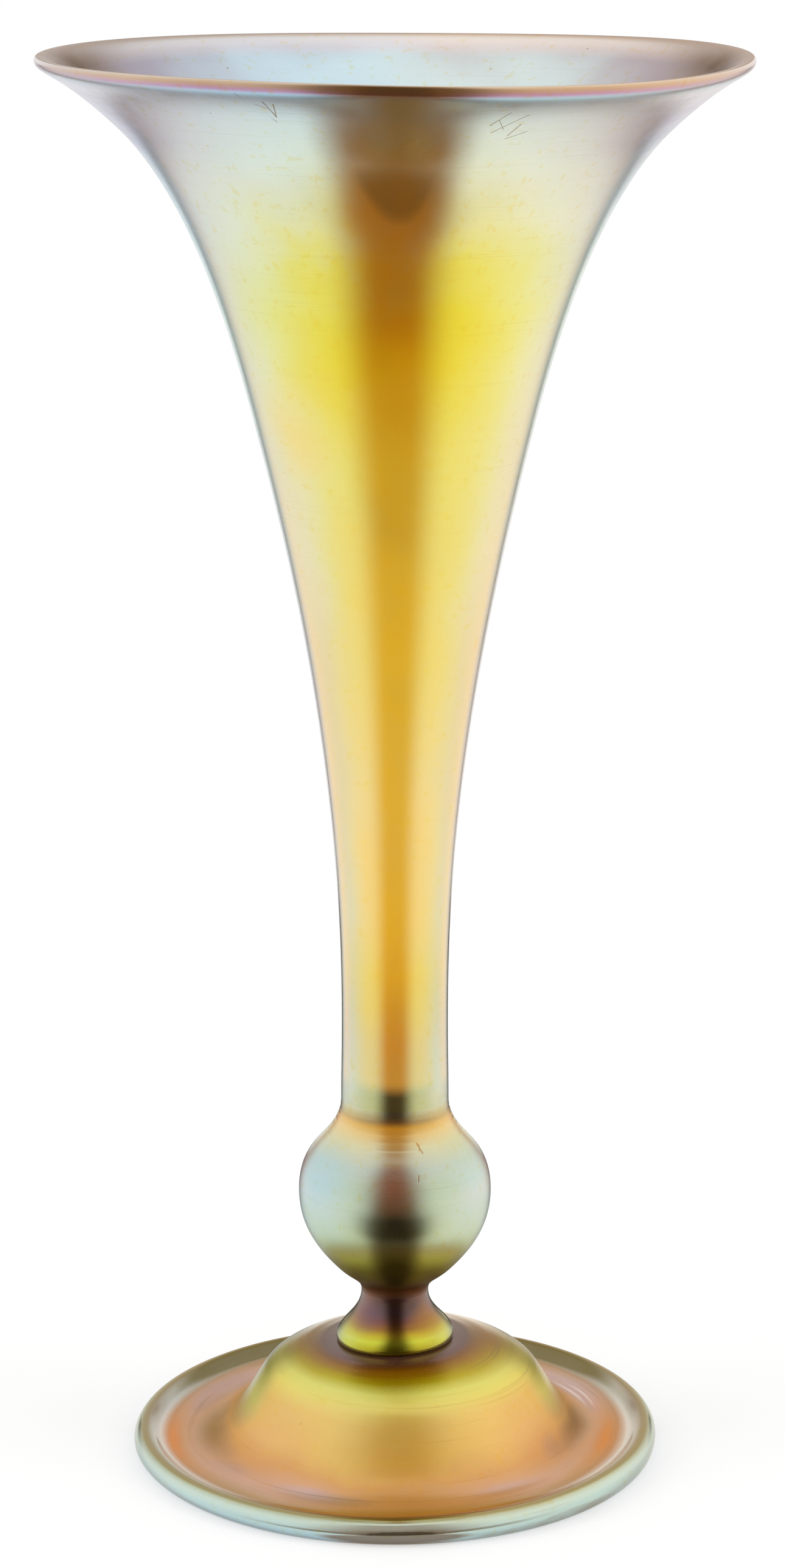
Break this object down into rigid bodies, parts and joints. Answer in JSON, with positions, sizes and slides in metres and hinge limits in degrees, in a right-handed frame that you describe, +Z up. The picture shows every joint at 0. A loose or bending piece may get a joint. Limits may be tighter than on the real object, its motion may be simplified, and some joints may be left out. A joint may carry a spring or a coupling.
{
  "type": "footed vase",
  "caption": "Footed trumpet vase of opaque gold lustre glass: thin flared bowl, solid ball knop, spool collar and hollow domed foot with a rolled rim.",
  "frame": {"origin": "centre of the standing ring under the foot, in the plane that the vase stands on", "axes": "+Z up along the vase's axis of revolution; X and Y are level and alike, with -Y taken as the front"},
  "size_m": [0.1732, 0.1732, 0.356],
  "materials": {
    "bowl_lustre": "satin iridescent gold lustre, silvery towards the lip, opaque",
    "knop_lustre": "satin iridescent silver and olive lustre, opaque",
    "collar_lustre": "satin iridescent purple to yellow lustre, opaque",
    "foot_lustre": "satin iridescent gold to amber lustre with a silver-blue rim, opaque"
  },
  "bodies": {
    "root": {"trumpet_bowl": "bowl_lustre", "ball_knop": "knop_lustre", "stem_collar": "collar_lustre", "foot": "foot_lustre"}
  },
  "joints": []
}
